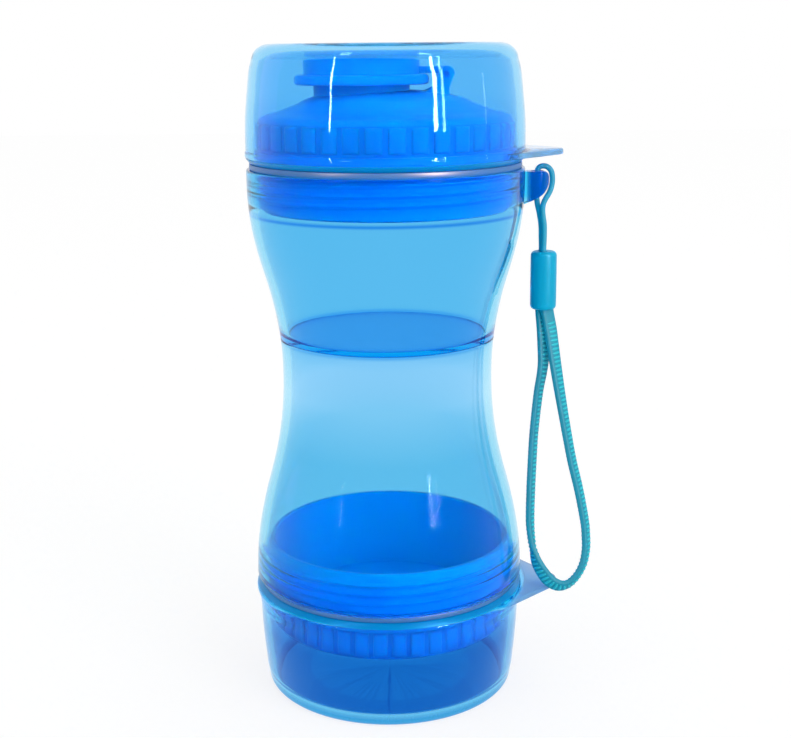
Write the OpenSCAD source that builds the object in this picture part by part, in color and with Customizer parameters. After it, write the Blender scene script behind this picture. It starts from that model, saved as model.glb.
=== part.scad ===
// Two-chamber travel bottle for a dog: water above, food below, a bowl over each end.
// Millimetres, +Z up, the bottle stands on the lower bowl and its axis is the Z axis.

/* [Overall] */
// height of the bottle body from rim to rim
body_h = 137.5; // [120:0.5:160]
// outer radius of the body at both rims
rim_r = 45.3; // [42:0.1:50]
// outer radius of the body at the waist
waist_r = 34.9; // [30:0.1:40]
// wall thickness of the body
wall = 2.7; // [2:0.1:4]
// height of the joint between the two body mouldings above the lower rim
seam_h = 82; // [70:0.5:95]
// thickness of the floor between the two chambers
floor_t = 1.2; // [1:0.1:3]

/* [Bowls] */
// height of the lower bowl
low_bowl_h = 35.2; // [28:0.1:45]
// height of the upper bowl
top_bowl_h = 35.7; // [28:0.1:45]
// radius of the bowls' rim flange
flange_r = 45.6; // [44:0.1:50]
// thickness of the rim flange and of the lift tab
flange_t = 1.9; // [1.5:0.1:3]
// wall thickness of the bowls
bowl_wall = 2.6; // [1.8:0.1:3.5]
// distance of the lift tab's tip from the axis
tab_reach = 57.8; // [54:0.1:66]
// radius of the tab's round tip
tab_tip = 7; // [3:0.5:9]
// turn of the upper bowl's tab about the axis
top_tab_az = 0; // [-20:1:20]
// turn of the lower bowl's tab about the axis
low_tab_az = -4; // [-20:1:20]

/* [Caps and threads] */
// thickness of the silicone gaskets
gasket_t = 2; // [1:0.1:3]
// thickness of the caps' flange between gasket and bowl
cap_flange_t = 1.8; // [1.2:0.1:3]
// depth of the caps' threaded skirt in the body
skirt_h = 13; // [9:0.5:18]
// radius of the threaded mouth of the body
bore_r = 42.6; // [41:0.1:44]
// thread pitch, one turn lifts a cap by this much
pitch = 3; // [2:0.1:5]
// radius of the water cap's grip ring
grip_r = 42; // [38:0.1:42.2]
// radius of the food cap's grip ring
low_grip_r = 40.3; // [37:0.1:41.2]
// number of flutes round the water cap's grip ring
flutes = 38; // [24:1:48]
// number of flutes round the food cap's grip ring
low_flutes = 42; // [24:1:48]

/* [Spout and lid] */
// distance of the spout from the bottle's axis
spout_x = 7.5; // [0:0.5:12]
// outer radius of the spout
spout_r = 15.5; // [12:0.1:17]
// radius of the spout's bore
spout_bore = 12.5; // [9:0.1:13.5]
// distance of the lid's hinge from the bottle's axis
hinge_x = 19.4; // [17:0.1:24]
// radius of the hinge knuckle
knuckle_r = 2.6; // [2.2:0.1:3.4]
// radius of the hinge pin
pin_r = 1; // [0.8:0.05:1.5]

/* [Lanyard] */
// reach of the lanyard lug from the axis
lug_reach = 53.3; // [50:0.1:58]
// radius of the hole in the lug
lug_hole_r = 2; // [1.5:0.1:2.4]
// diameter of the cord
cord_d = 1.8; // [1.2:0.1:2.2]
// diameter of the bead
bead_d = 8.6; // [6:0.1:11]
// length of the bead
bead_l = 19.5; // [14:0.5:26]
// width of the woven strap
strap_w = 4.6; // [3:0.1:4.8]
// thickness of the woven strap
strap_t = 1.6; // [1:0.1:1.7]

/* [Hidden] */
$fn = 96;
z_low = low_bowl_h + cap_flange_t + gasket_t;
z_up = z_low + body_h;
z_seam = z_low + seam_h;
z_top = z_up + gasket_t + cap_flange_t + top_bowl_h;
stack = gasket_t + cap_flange_t;
skirt_r = bore_r - 1.5;
thread_h = 1.1;
steps = 8;
z_hinge = z_up + 29.6;
z_spout = z_up + 28.1;

// outside of the body: share of its height against share of the way from waist to rim
shape = [[0, 1], [0.03, 0.99], [0.07, 0.966], [0.097, 0.926], [0.1215, 0.872],
  [0.1476, 0.811], [0.1724, 0.742], [0.1978, 0.665], [0.2225, 0.579], [0.2487, 0.484],
  [0.2749, 0.391], [0.3018, 0.302], [0.3287, 0.224], [0.3549, 0.16], [0.3811, 0.105],
  [0.4073, 0.064], [0.4327, 0.033], [0.4589, 0.012], [0.497, 0], [0.5353, 0.008],
  [0.5607, 0.026], [0.5862, 0.056], [0.6109, 0.096], [0.6364, 0.148], [0.6611, 0.211],
  [0.6858, 0.281], [0.7105, 0.361], [0.7353, 0.455], [0.76, 0.555], [0.784, 0.647],
  [0.8073, 0.73], [0.8313, 0.806], [0.8553, 0.868], [0.8778, 0.918], [0.9018, 0.957],
  [0.9258, 0.981], [0.955, 0.997], [1, 1]];
function at(p, cut) = [waist_r + p[1] * (rim_r - waist_r) - cut, z_low + p[0] * body_h];
seam_s = seam_h / body_h;
// where the seam cuts the outside
seam_r = waist_r + lookup(seam_s, shape) * (rim_r - waist_r);
upper = [for (p = shape) if (p[0] > seam_s + 0.01) p];
lower = [for (p = shape) if (p[0] < seam_s - 0.01) p];
mouth = (skirt_h + 1) / body_h;

// one step of a thread: a sector of a ridge, base first
module sector(r_base, r_crest, z, ang, az) {
  rotate([0, 0, az]) rotate_extrude(angle = ang)
    polygon([[r_base, z - 0.85], [r_crest, z - 0.4], [r_crest, z + 0.4], [r_base, z + 0.85]]);
}
// a thread climbs by one pitch a turn in steps of an eighth of a turn
module thread(r_base, r_crest, z0, n, az0, dir) {
  for (i = [0:n - 1])
    sector(r_base, r_crest, z0 + dir * pitch * i / steps, 360 / steps, az0 + i * 360 / steps);
}

// the upper moulding: water chamber with its floor, threaded mouth and lanyard lug
module body_upper() {
  inner_up = [for (p = upper) if (p[0] < 1 - mouth && p[0] > seam_s + 0.025) at(p, wall)];
  outer_up = [for (p = upper) if (p[0] < 0.99) at(p, 0)];
  fillet = [for (a = [0:22.5:90])
    [seam_r - wall - 1.3 + 1.5 * sin(a), z_seam + floor_t + 1.5 - 1.5 * cos(a)]];
  color("LightSkyBlue") difference() {
    union() {
      rotate_extrude() polygon(concat(
        [[0, z_seam], [seam_r, z_seam]], outer_up,
        [[rim_r, z_up - 0.6], [rim_r - 0.6, z_up], [bore_r + 0.4, z_up], [bore_r, z_up - 0.4],
         [bore_r, z_up - skirt_h - 1]],
        [for (i = [len(inner_up) - 1:-1:0]) inner_up[i]],
        [for (i = [len(fillet) - 1:-1:0]) fillet[i]],
        [[0, z_seam + floor_t]]));
      thread(bore_r + 0.4, bore_r - thread_h, z_up - 8.6, 16, 0, 1);
      lug();
    }
    translate([lug_reach - 3.9, 0, z_up - 20]) cylinder(h = 30, r = lug_hole_r);
  }
}
// the lug grows out of the wall below the rim, round at its end, its underside slanted
module lug() {
  intersection() {
    translate([0, 0, z_up - 12.6]) linear_extrude(height = 10.9) difference() {
      union() {
        translate([lug_reach - 4, 0]) circle(r = 4);
        translate([rim_r - 2, -3.9]) square([lug_reach - rim_r - 2, 7.8]);
      }
      circle(r = rim_r - 1.4);
    }
    translate([0, 5, 0]) rotate([90, 0, 0]) linear_extrude(height = 10)
      polygon([[40, z_up - 12.5], [44.5, z_up - 12.4], [48, z_up - 11], [49.8, z_up - 10.1],
        [51.4, z_up - 8.9], [52.6, z_up - 7.3], [53.1, z_up - 5.7], [53.2, z_up - 4],
        [52.9, z_up - 2.5], [52.2, z_up - 1.7], [40, z_up - 1.7]]);
  }
}

// the lower moulding: food chamber, open below, joined under the floor
module body_lower() {
  inner_lo = [for (p = lower) if (p[0] > mouth + 0.008) at(p, wall)];
  outer_lo = [for (p = lower) if (p[0] > 0.01) at(p, 0)];
  color("LightSkyBlue") union() {
    rotate_extrude() polygon(concat(
      [[bore_r, z_low + 0.4], [bore_r + 0.4, z_low], [rim_r - 0.6, z_low], [rim_r, z_low + 0.6]],
      outer_lo,
      [[seam_r, z_seam], [seam_r - wall, z_seam]],
      [for (i = [len(inner_lo) - 1:-1:0]) inner_lo[i]],
      [[bore_r, z_low + skirt_h + 1]]));
    thread(bore_r + 0.4, bore_r - thread_h, z_low + 8.6 - 15 * pitch / steps, 16, 0, 1);
  }
}

// a silicone ring between the body's rim and the cap's flange
module gasket(z) {
  rotate_extrude() polygon([[skirt_r + 0.2, z], [43.9, z], [44.2, z + 0.4],
    [44.2, z + gasket_t - 0.4], [43.9, z + gasket_t], [skirt_r + 0.2, z + gasket_t]]);
}
module water_seal() { color("Silver") gasket(z_up); }
module food_seal() { color("Silver") gasket(z_low - gasket_t); }

// what both screw caps share, drawn for the upper end: skirt, flange, land and fluted grip
module cap_shell(r, n, inside) {
  z0 = z_up + gasket_t;
  z1 = z0 + cap_flange_t;
  difference() {
    rotate_extrude() polygon(concat(
      [[skirt_r - 2.2, z_up - skirt_h + 0.6], [skirt_r - 1.6, z_up - skirt_h],
       [skirt_r - 0.6, z_up - skirt_h], [skirt_r, z_up - skirt_h + 0.6], [skirt_r, z0],
       [44, z0], [44.2, z0 + 0.3], [45.3, z1 - 0.2], [45.3, z1], [42.4, z1], [42.4, z1 + 2],
       [r, z1 + 2.4], [r, z1 + 11.3]], inside));
    for (i = [0:n - 1]) rotate([0, 0, i * 360 / n])
      translate([r + 1.2, 0, z1 + 3.6]) cylinder(h = 7.2, r = 1.9);
  }
}

// the water cap: grip, dome, off-centre spout and the two ears of the lid's hinge
module water_cap() {
  z1 = z_up + stack;
  color("DodgerBlue") union() {
    difference() {
      union() {
        cap_shell(grip_r, flutes, [[grip_r - 0.4, z1 + 12.1], [grip_r - 1.4, z1 + 12.9],
          [grip_r - 3.5, z1 + 13.6], [36, z1 + 14.1], [32.6, z1 + 15.1], [28.5, z1 + 16.6],
          [26.8, z1 + 17.6], [23.6, z1 + 18.8], [20, z1 + 19.7], [15, z1 + 20.4], [7, z1 + 20.9],
          [0, z1 + 21], [0, z1 + 18.9], [7, z1 + 18.7], [15, z1 + 18], [22, z1 + 16.5],
          [28, z1 + 14.4], [33, z1 + 12.6], [37, z1 + 11.5], [38.6, z1 + 10.2], [38.9, z1 + 8.6]]);
        translate([-spout_x, 0, z1 + 16]) cylinder(h = z_spout - z1 - 16, r = spout_r);
      }
      translate([-spout_x, 0, z1 + 8]) cylinder(h = z_spout - z1, r = spout_bore);
    }
    thread(skirt_r - 0.3, bore_r - 0.4, z_up - 8.6 - 0.5 * pitch, 24, 0, 1);
    for (s = [-1, 1]) translate([0, s * 6.9 + 1.1, 0]) ear();
  }
}
// one ear of the hinge, round over the pin
module ear() {
  z1 = z_up + stack;
  rotate([90, 0, 0]) linear_extrude(height = 2.2) difference() {
    union() {
      translate([hinge_x, z_hinge]) circle(r = knuckle_r);
      polygon([[hinge_x - 2.55, z_hinge], [hinge_x - 3.2, z_hinge - 3.1],
        [hinge_x - 4.9, z_hinge - 4.6], [13, z_hinge - 5.2], [13, z1 + 18.4], [20.5, z1 + 17.6],
        [hinge_x + 0.8, z_hinge - 4.6], [hinge_x + 1.7, z_hinge - 2], [hinge_x + 2.55, z_hinge]]);
    }
    translate([hinge_x, z_hinge]) circle(r = pin_r);
  }
}

// the silicone plug in the lid: it closes the spout's bore and rests on its lip
module spout_seal() {
  color("Silver") translate([-spout_x, 0, 0]) rotate_extrude() polygon([[0, z_spout - 2.2],
    [11.6, z_spout - 2.2], [12.1, z_spout], [15.6, z_spout], [15.6, z_spout + 1.8],
    [13, z_spout + 1.8], [13, z_spout + 6.2], [0, z_spout + 6.2]]);
}

// the flip lid: cup over the spout, rim with a thumb edge, arm and knuckle of the hinge
module flip_lid() {
  color("DodgerBlue") difference() {
    union() {
      translate([-spout_x, 0, 0]) rotate_extrude() polygon([[16, z_spout - 1.6],
        [21, z_spout - 1.6], [21.6, z_spout - 1.1], [21.6, z_spout + 0.9],
        [21, z_spout + 1.4], [18.7, z_spout + 1.4], [18.7, z_spout + 7], [18.2, z_spout + 8],
        [17, z_spout + 8.6], [0, z_spout + 8.6], [0, z_spout + 6.2], [16, z_spout + 6.2]]);
      translate([10.4, -4, z_hinge + 0.2]) cube([hinge_x - 10.4, 8, 2.2]);
      translate([hinge_x, 5.6, z_hinge]) rotate([90, 0, 0]) cylinder(h = 11.2, r = knuckle_r);
    }
    translate([hinge_x, 8, z_hinge]) rotate([90, 0, 0]) cylinder(h = 16, r = pin_r + 0.06);
  }
}
module lid_pin() {
  color("LightSteelBlue") translate([hinge_x, 8, z_hinge]) rotate([90, 0, 0])
    cylinder(h = 16, r = pin_r - 0.02);
}

// a rim flange with its lift tab: a circle, a small circle at the tip, the straight sides
module tab_plan(az) {
  tip = tab_tip;
  c = tab_reach - tip;
  u = (flange_r - tip) / c;
  v = sqrt(1 - u * u);
  rotate([0, 0, az]) union() {
    circle(r = flange_r);
    translate([c, 0]) circle(r = tip);
    polygon([[c + (tip - 0.02) * u, (tip - 0.02) * v], [(flange_r - 0.02) * u, (flange_r - 0.02) * v],
      [(flange_r - 0.02) * u, -(flange_r - 0.02) * v], [c + (tip - 0.02) * u, -(tip - 0.02) * v]]);
  }
}
// the upper bowl, upside down over the water cap
module water_bowl() {
  z0 = z_up + stack;
  color("LightSkyBlue") difference() {
    union() {
      translate([0, 0, z0]) linear_extrude(height = flange_t) tab_plan(top_tab_az);
      rotate_extrude() polygon([[0, z0 + 1], [45.3, z0 + 1], [45.3, z0 + 5.4],
        [45.1, z_top - 24.1], [44.9, z_top - 21], [44.64, z_top - 17.8], [44.3, z_top - 14.7],
        [43.95, z_top - 11.6], [43.55, z_top - 8.4], [43.1, z_top - 6], [42.5, z_top - 4.2],
        [41.5, z_top - 2.6], [40, z_top - 1.2], [38, z_top - 0.3], [36, z_top], [0, z_top]]);
    }
    rotate_extrude() polygon([[0, z0 - 1], [45.4 - bowl_wall, z0 - 1], [45.4 - bowl_wall, z0 + 5],
      [45.1 - bowl_wall, z_top - 24.1], [44.64 - bowl_wall, z_top - 17.8],
      [43.95 - bowl_wall, z_top - 11.6], [43.4 - bowl_wall, z_top - 7.6],
      [42.6 - bowl_wall, z_top - 5], [41.4 - bowl_wall, z_top - 3.2],
      [39.6 - bowl_wall, z_top - 2.35], [37 - bowl_wall, z_top - 2], [0, z_top - 2]]);
  }
}
// the lower bowl, the right way up, which the bottle stands on
module food_bowl() {
  z0 = low_bowl_h;
  color("RoyalBlue") difference() {
    union() {
      translate([0, 0, z0 - flange_t]) linear_extrude(height = flange_t) tab_plan(low_tab_az);
      rotate_extrude() polygon([[0, 0], [39.8, 0], [41.2, 0.5], [42, 1.5], [42.3, 2.8],
        [42.9, 6.4], [43.25, 9.9], [43.6, 13.6], [43.9, 17.1], [44.15, 20.6], [44.3, 24.3],
        [44.5, 29], [44.9, z0 - 3], [44.9, z0 - 1], [0, z0 - 1]]);
    }
    rotate_extrude() polygon([[0, 2.6], [37, 2.6], [38.8, 3.2], [39.7, 4.4],
      [40.1, 6.4], [43.6 - bowl_wall - 0.1, 13.6], [44.15 - bowl_wall - 0.1, 20.6],
      [44.5 - bowl_wall + 0.1, 28.5], [45.4 - bowl_wall, z0 - 4], [45.4 - bowl_wall, z0 + 1],
      [0, z0 + 1]]);
  }
}
// the food cap: the same skirt and grip the other way up, closed by a flat disc
module food_cap() {
  z1 = z_up + stack;
  color("DodgerBlue") translate([0, 0, z_low + z_up]) mirror([0, 0, 1]) union() {
    cap_shell(low_grip_r, low_flutes, [[low_grip_r - 0.3, z1 + 12.3], [low_grip_r - 1, z1 + 12.9],
      [low_grip_r - 2.2, z1 + 13.1], [36, z1 + 13.1], [35.4, z1 + 12.3], [0, z1 + 12.3],
      [0, z1 + 10.1], [37.2, z1 + 10.1], [37.4, z1 + 1.5], [skirt_r - 2.2, z1 - 1]]);
  }
  color("DodgerBlue")
    thread(skirt_r - 0.3, bore_r - 0.4, z_low + 8.6 - 15 * pitch / steps - 0.5 * pitch, 24, 0, 1);
}

// a cord or strap along a path of points [x, y, z, turn]: a ring of n corners at each point,
// its width turned about the path by the point's own angle
function unit(v) = v / norm(v);
function place(q) = [q[0], q[1], q[2]];
function dir_at(p, i) = unit(place(p[min(i + 1, len(p) - 1)]) - place(p[max(i - 1, 0)]));
function back_at(d) = unit([0, 1, 0] - d * d[1]);
module tube(p, w, t, n) {
  pts = [for (i = [0:len(p) - 1]) for (j = [0:n - 1])
    let (d = dir_at(p, i), a = p[i][3], q = 360 * (j + 0.5) / n, e = back_at(d), o = cross(d, e),
      e2 = e * cos(a) + o * sin(a), o2 = o * cos(a) - e * sin(a))
      place(p[i]) + e2 * (w / 2 * cos(q)) + o2 * (t / 2 * sin(q))];
  m = len(p) - 1;
  polyhedron(points = pts, faces = concat(
    [[for (j = [n - 1:-1:0]) j]],
    [for (i = [0:m - 1]) for (j = [0:n - 1])
      [i * n + j, i * n + (j + 1) % n, (i + 1) * n + j]],
    [for (i = [0:m - 1]) for (j = [0:n - 1])
      [(i + 1) * n + j, i * n + (j + 1) % n, (i + 1) * n + (j + 1) % n]],
    [[for (j = [0:n - 1]) m * n + j]]), convexity = 6);
}
// the thin cord: out of the bead, up through the lug's hole, over the lug and down again
cord_path = [[51.3, 0.95, 140, 0], [51.3, 0.95, 149, 0], [51.2, 1, 153, 0], [51.05, 1, 157, 0],
  [50.4, 0.95, 161, 0], [49.7, 0.75, 164, 0], [49.3, 0.3, 168, 0], [49.3, 0, 172, 0],
  [49.4, 0, 174.6, 0], [50, 0, 175.9, 0], [51.1, 0, 176.35, 0], [52.4, 0, 176.2, 0],
  [53.5, 0, 175.4, 0], [54.2, 0, 174, 0], [54.4, 0, 171.5, 0], [54.05, -0.2, 169.3, 0],
  [53.3, -0.5, 167.5, 0], [52.3, -0.8, 165.9, 0], [51.5, -1, 164.2, 0], [51.25, -1, 162, 0],
  [51.5, -1, 159.5, 0], [51.85, -1, 157, 0], [51.9, -0.95, 153, 0], [51.8, -0.95, 149, 0],
  [51.8, -0.95, 140, 0]];
module lanyard_cord() { color("LightSeaGreen") tube(cord_path, cord_d, cord_d, 8); }

// the bead: a moulded barrel that grips the cord above and the strap below
module lanyard_bead() {
  z0 = 128.9;
  r = bead_d / 2;
  color("LightSeaGreen") difference() {
    translate([52, 0, z0]) rotate_extrude() polygon([[0, 0], [r - 1.4, 0], [r - 0.5, 0.4],
      [r, 1.3], [r, bead_l - 1.3], [r - 0.5, bead_l - 0.4], [r - 1.4, bead_l], [0, bead_l]]);
    translate([50.2, -1.95, z0 + 10]) cube([2.7, 3.9, 30]);
    translate([52.1, -0.05, z0 - 1]) rotate([0, 0, -55]) translate([-1.95, -2.65, 0])
      cube([4.1, 5.45, 9]);
  }
}
// the strap: one woven band folded into a loop, both ends in the bead, twisted near it; the
// loop hangs forward past the lower tab
strap_path = [[51.64, 0.6, 136, 55], [51.64, 0.6, 129, 55], [52.1, 0.1, 123, 54],
  [52.3, -0.6, 117.5, 50], [52.3, -1.2, 111.4, 41], [51.8, -1.7, 107.1, 34],
  [50.9, -2.2, 102.2, 26], [50.2, -2.9, 97, 20], [49.6, -3.6, 91.7, 16], [49, -4.6, 85.5, 14],
  [48.5, -6, 77.5, 14], [48, -7.7, 68, 13], [47.7, -9.8, 57.8, 11], [48.2, -11.3, 51.2, 4],
  [48.9, -12.1, 47.7, -8], [49.8, -12.8, 44.5, -26], [51.7, -13.4, 41, -44],
  [54.2, -13.6, 37.9, -50], [57.1, -13.6, 36.3, -46], [59.6, -13.5, 36.4, -36],
  [61.8, -13.4, 37.8, -28], [64.1, -13.2, 40.8, -23], [65.7, -12.8, 44.6, -20],
  [66.4, -12.2, 49.3, -19], [66.3, -11.6, 53.8, -19], [65.9, -11, 58.2, -19],
  [64, -9.5, 68.4, -20], [61.7, -7.9, 78.2, -22], [60.3, -6.7, 85.6, -25],
  [58.9, -5.4, 93.6, -29], [57.4, -4, 102.6, -36], [56, -2.7, 111.7, -44],
  [55.2, -2, 117.1, -50], [54.5, -1.3, 122, -54], [53.2, -0.9, 129, -55],
  [52.7, -0.8, 136, -55]];
module lanyard_strap() { color("Turquoise") tube(strap_path, strap_w, strap_t, 8); }

body_upper();
body_lower();
water_seal();
water_cap();
spout_seal();
flip_lid();
lid_pin();
water_bowl();
food_seal();
food_cap();
food_bowl();
lanyard_cord();
lanyard_bead();
lanyard_strap();
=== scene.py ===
import math

import bmesh
import bpy
import numpy as np
from mathutils import Matrix, Vector


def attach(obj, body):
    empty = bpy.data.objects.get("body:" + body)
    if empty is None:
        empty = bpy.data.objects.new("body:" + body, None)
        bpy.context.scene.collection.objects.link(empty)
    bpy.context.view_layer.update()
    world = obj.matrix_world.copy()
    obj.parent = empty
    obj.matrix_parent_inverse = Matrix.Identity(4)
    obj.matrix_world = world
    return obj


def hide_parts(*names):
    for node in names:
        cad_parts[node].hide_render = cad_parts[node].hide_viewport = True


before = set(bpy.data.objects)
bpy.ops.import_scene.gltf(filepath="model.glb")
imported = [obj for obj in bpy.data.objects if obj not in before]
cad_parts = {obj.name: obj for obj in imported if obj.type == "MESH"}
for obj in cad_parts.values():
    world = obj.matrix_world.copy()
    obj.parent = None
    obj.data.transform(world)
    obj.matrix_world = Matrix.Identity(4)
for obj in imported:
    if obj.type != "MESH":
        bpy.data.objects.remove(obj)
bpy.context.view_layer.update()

scene = bpy.context.scene

# Camera
# It stands in front of the bottle, a little above the upper bowl's rim, and looks down 12 degrees.
# Its place, lens and slight roll come from the rims' ellipses in the photograph.
eye = bpy.data.cameras.new("camera")
eye.sensor_width = 36
eye.lens = 1323.3 / 791 * 36
eye.shift_x = (395.5 - 387.05) / 791
eye.shift_y = (330.1 - 369.0) / 791
eye.clip_start = 0.02
camera = bpy.data.objects.new("camera", eye)
camera.matrix_world = (Matrix.Translation((0, -0.4327, 0.2147))
                       @ Matrix.Rotation(math.radians(90 - 12.08), 4, "X")
                       @ Matrix.Rotation(math.radians(-0.5), 4, "Z"))
scene.collection.objects.link(camera)
scene.camera = camera

# Lanyard cord
# A thin round braided polyester cord. Both ends are held in the bead, and its loop goes up
# through the hole of the lug and back down over the lug's round end.
def srgb(code, alpha=1.0):
    """A hex colour as linear red, green, blue and alpha."""
    parts = [int(code[i:i + 2], 16) / 255 for i in (1, 3, 5)]
    return tuple(p / 12.92 if p <= 0.04045 else ((p + 0.055) / 1.055) ** 2.4 for p in parts) + (alpha,)


def put(tree, kind, inputs=None, **settings):
    """One node, with its settings, and its inputs as values or as links from other sockets."""
    made = tree.nodes.new(kind)
    for name, value in settings.items():
        setattr(made, name, value)
    for name, value in (inputs or {}).items():
        if isinstance(value, bpy.types.NodeSocket):
            tree.links.new(value, made.inputs[name])
        else:
            made.inputs[name].default_value = value
    return made


def blank_material(name):
    finish = bpy.data.materials.new(name)
    finish.use_nodes = True
    finish.node_tree.nodes.clear()
    return finish, finish.node_tree


def smooth_path(points, step):
    """Points every step millimetres on a smooth line through the given ones."""
    p = np.array(points, float)
    p = np.vstack([2 * p[0] - p[1], p, 2 * p[-1] - p[-2]])
    fine = []
    for a, b, c, d in zip(p[:-3], p[1:-2], p[2:-1], p[3:]):
        for t in np.linspace(0, 1, 24, endpoint=False):
            fine.append(0.5 * (2 * b + (c - a) * t + (2 * a - 5 * b + 4 * c - d) * t ** 2
                               + (3 * b - a - 3 * c + d) * t ** 3))
    fine = np.array(fine + [p[-2]])
    run = np.concatenate([[0], np.cumsum(np.linalg.norm(np.diff(fine, axis=0), axis=1))])
    at = np.linspace(0, run[-1], max(2, int(round(run[-1] / step)) + 1))
    return np.stack([np.interp(at, run, fine[:, i]) for i in range(3)], 1), at


def frames_along(line, turn):
    """Side and normal at each point of a line. The side starts from the line of sight and is
    turned about the line by that many degrees."""
    along = np.gradient(line, axis=0)
    along /= np.linalg.norm(along, axis=1)[:, None]
    away = np.array([0.0, 1.0, 0.0]) - along * along[:, 1:2]
    away /= np.linalg.norm(away, axis=1)[:, None]
    beside = np.cross(along, away)
    a = np.radians(turn)[:, None]
    return away * np.cos(a) + beside * np.sin(a), beside * np.cos(a) - away * np.sin(a)


def mesh_piece(name, verts, faces, finish, uvs=None, sharp=38):
    """A mesh object at the origin from points in millimetres, its faces turned outwards."""
    mesh = bpy.data.meshes.new(name)
    mesh.from_pydata([tuple(v) for v in np.asarray(verts, float) / 1000], [], faces)
    if uvs is not None:
        layer = mesh.uv_layers.new(name="UVMap")
        layer.data.foreach_set("uv", np.asarray(uvs, np.float32).ravel())
    work = bmesh.new()
    work.from_mesh(mesh)
    bmesh.ops.recalc_face_normals(work, faces=work.faces)
    work.to_mesh(mesh)
    work.free()
    mesh.shade_smooth()
    mesh.set_sharp_from_angle(angle=math.radians(sharp))
    made = bpy.data.objects.new(name, mesh)
    scene.collection.objects.link(made)
    mesh.materials.append(finish)
    return made


def swept(name, line, at, across, normal, section, finish):
    """A closed tube with that cross-section along a line; its UV map is in millimetres."""
    n, m = len(section), len(line)
    verts = [line[i] + across[i] * s[0] + normal[i] * s[1] for i in range(m) for s in section]
    girth = np.concatenate([[0], np.cumsum([math.dist(section[j], section[(j + 1) % n]) for j in range(n)])])
    faces, uvs = [], []
    for i in range(m - 1):
        for j in range(n):
            k = (j + 1) % n
            faces.append((i * n + j, i * n + k, (i + 1) * n + k, (i + 1) * n + j))
            uvs += [(at[i], girth[j]), (at[i], girth[j + 1]), (at[i + 1], girth[j + 1]), (at[i + 1], girth[j])]
    faces.append(tuple(reversed(range(n))))
    faces.append(tuple((m - 1) * n + j for j in range(n)))
    uvs += [(0, 0)] * n + [(at[-1], 0)] * n
    return mesh_piece(name, verts, faces, finish, uvs, sharp=60)


# Braided polyester, piece-dyed turquoise: satin, with a fine diagonal plait that breaks up its gloss; the plait's
# grooves are painted a darker turquoise, as shade between the strands
braid, nodes = blank_material("braided_polyester")
cloth_map = put(nodes, "ShaderNodeTexCoord")
plait = put(nodes, "ShaderNodeMapping", {"Vector": cloth_map.outputs["UV"], "Scale": (1.0, 1.0, 1.0),
                                         "Rotation": (0, 0, math.radians(38))})
strands = put(nodes, "ShaderNodeTexWave", {"Vector": plait.outputs[0], "Scale": 0.55, "Distortion": 0.0},
              wave_type="BANDS", bands_direction="X")
shade = put(nodes, "ShaderNodeMix", {"Factor": strands.outputs["Fac"], "A": srgb("#00A4D0"), "B": srgb("#00C8E8")},
            data_type="RGBA")
relief = put(nodes, "ShaderNodeBump", {"Height": strands.outputs["Fac"], "Strength": 0.35, "Distance": 0.0001})
cloth = put(nodes, "ShaderNodeBsdfPrincipled", {"Base Color": shade.outputs["Result"], "Roughness": 0.6,
                                                "Normal": relief.outputs[0], "Specular IOR Level": 0.15})
put(nodes, "ShaderNodeOutputMaterial", {"Surface": cloth.outputs[0]})

cord_route = [(51.3, 0.95, 140), (51.3, 0.95, 149), (51.2, 1, 153), (51.05, 1, 157), (50.4, 0.95, 161),
              (49.7, 0.75, 164), (49.3, 0.3, 168), (49.3, 0, 172), (49.4, 0, 174.6), (50, 0, 175.9),
              (51.1, 0, 176.35), (52.4, 0, 176.2), (53.5, 0, 175.4), (54.2, 0, 174), (54.4, 0, 171.5),
              (54.05, -0.2, 169.3), (53.3, -0.5, 167.5), (52.3, -0.8, 165.9), (51.5, -1, 164.2), (51.25, -1, 162),
              (51.5, -1, 159.5), (51.85, -1, 157), (51.9, -0.95, 153), (51.8, -0.95, 149), (51.8, -0.95, 140)]
line, at = smooth_path(cord_route, 0.5)
across, normal = frames_along(line, np.zeros(len(line)))
round_cord = [(0.9 * math.cos(a), 0.9 * math.sin(a)) for a in np.linspace(0, 2 * math.pi, 20, endpoint=False)]
cord = swept("lanyard_cord_braid", line, at, across, normal, round_cord, braid)
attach(cord, "lanyard")
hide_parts("lanyard_cord")

# Lanyard strap
# A flat ribbed webbing, 4.6 mm wide, folded into a loop. Its two ends are pressed into the bead,
# where it is turned nearly flat to the viewer; lower down the loop shows its edge and outer face.
# Two close shades of dyed yarn at random; because the same noise drives the bump, the low spots take the darker one as
# painted shade between the threads.
webbing, nodes = blank_material("ribbed_polyester_webbing")
cloth_map = put(nodes, "ShaderNodeTexCoord")
threads = put(nodes, "ShaderNodeTexNoise", {"Vector": cloth_map.outputs["Object"], "Scale": 2600.0, "Detail": 2.0})
shade = put(nodes, "ShaderNodeMix", {"Factor": threads.outputs["Fac"], "A": srgb("#009CBC"), "B": srgb("#00B4D0")},
            data_type="RGBA")
relief = put(nodes, "ShaderNodeBump", {"Height": threads.outputs["Fac"], "Strength": 0.4, "Distance": 0.0001})
cloth = put(nodes, "ShaderNodeBsdfPrincipled", {"Base Color": shade.outputs["Result"], "Roughness": 0.6,
                                                "Normal": relief.outputs[0], "Specular IOR Level": 0.15})
put(nodes, "ShaderNodeOutputMaterial", {"Surface": cloth.outputs[0]})

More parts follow.
